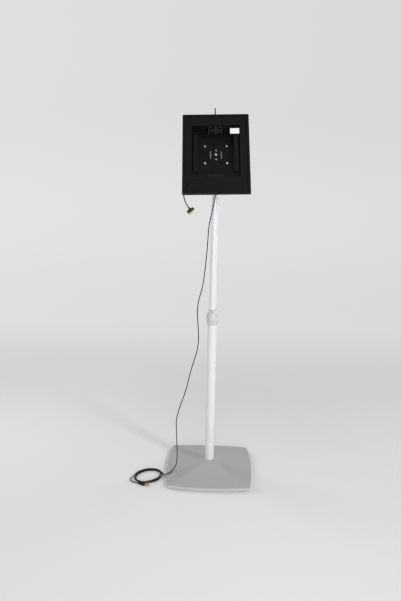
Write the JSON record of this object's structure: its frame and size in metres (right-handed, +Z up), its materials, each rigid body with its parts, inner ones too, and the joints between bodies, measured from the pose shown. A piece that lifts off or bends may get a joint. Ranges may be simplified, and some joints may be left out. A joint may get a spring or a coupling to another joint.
{
  "type": "tablet floor stand",
  "caption": "Floor stand with a square tent-shaped base, a height-adjustable mast and a tilting, turning, lockable tablet enclosure with a cord.",
  "frame": {"origin": "on the floor, under the middle of the base", "axes": "+Z up along the mast, the enclosure faces -Y, +X to the right seen from the front"},
  "size_m": [0.4615, 0.3286, 1.3607],
  "materials": {
    "base": "satin powder coat",
    "tube": "satin powder coat",
    "collar": "satin",
    "black_plastic": "satin, lightly textured",
    "black_steel": "matt",
    "zinc": "zinc plated",
    "bright": "bright plated",
    "steel": "machined",
    "rubber": "matt",
    "nylon": "natural",
    "label": "blank, white",
    "cord": "satin",
    "contact": "plated"
  },
  "bodies": {
    "stand": {"base_cover": "base", "base_plate": "base", "base_feet": "rubber", "cover_screws": "zinc", "foot_hub": "steel", "hub_screws": "zinc", "hub_set_screw": "steel", "lower_tube": "tube", "guide_bush": "nylon", "collar_body": "collar", "clamp_sleeve": "nylon", "cord_run": "cord", "cord_rest": "cord", "cord_coil": "cord", "usb_plug": "black_plastic", "usb_shell": "contact"},
    "collar": {"collar_nut": "collar"},
    "mast": {"upper_tube": "tube", "slide_bush": "nylon", "neck_tongue": "zinc", "neck_pin": "steel", "friction_washers": "steel", "mast_clip": "black_plastic"},
    "tilt": {"tilt_knuckle": "zinc", "tilt_bolt": "zinc", "tilt_washers": "zinc", "tilt_nut": "zinc", "swivel_disc": "nylon", "flange_clip": "black_plastic", "cord_tilt": "cord"},
    "head": {"front_frame": "black_plastic", "rear_shell": "black_plastic", "shell_screws": "zinc", "mount_plate": "zinc", "mount_screws": "bright", "pivot_bolt": "bright", "pivot_washers": "steel", "pivot_nut": "zinc", "stop_pins": "bright", "rail_left": "black_plastic", "rail_right": "black_plastic", "label": "label", "cable_grommet": "rubber", "lock_housing": "black_steel", "lock_nut": "black_steel", "lock_bracket": "black_steel", "bracket_screws": "black_steel", "cord_tail": "cord", "cord_swivel": "cord", "dock_plug": "black_plastic", "dock_tip": "contact"},
    "lock": {"lock_plug": "black_steel", "lock_cam": "black_steel", "cam_screw": "black_steel"},
    "key": {"key": "black_steel"}
  },
  "joints": [
    {"name": "mast_height", "type": "slide", "parent": "stand", "child": "mast", "axis": [0, 0, 1], "range_m": [-0.4, 0.0395], "deforming": ["cord_run"]},
    {"name": "collar_twist", "type": "hinge", "parent": "stand", "child": "collar", "pos_m": [0, 0, 0.63], "axis": [0, 0, 1], "range_deg": [0, 90]},
    {"name": "head_tilt", "type": "hinge", "parent": "mast", "child": "tilt", "pos_m": [0, 0, 1.1783], "axis": [-1, 0, 0], "range_deg": [-30, 48], "deforming": ["cord_tilt"]},
    {"name": "head_turn", "type": "hinge", "parent": "tilt", "child": "head", "pos_m": [0, -0.02621, 1.20149], "axis": [0, -0.749, 0.6626], "range_deg": [-2.1, 87.9], "deforming": ["cord_swivel"]},
    {"name": "lock_turn", "type": "hinge", "parent": "head", "child": "lock", "pos_m": [-0.00613, 0.0459, 1.32443], "axis": [0.0361, -0.5295, -0.8476], "range_deg": [0, 90]},
    {"name": "key_pull", "type": "slide", "parent": "lock", "child": "key", "axis": [-0.0361, 0.5295, 0.8476], "range_m": [0, 0.028]}
  ]
}
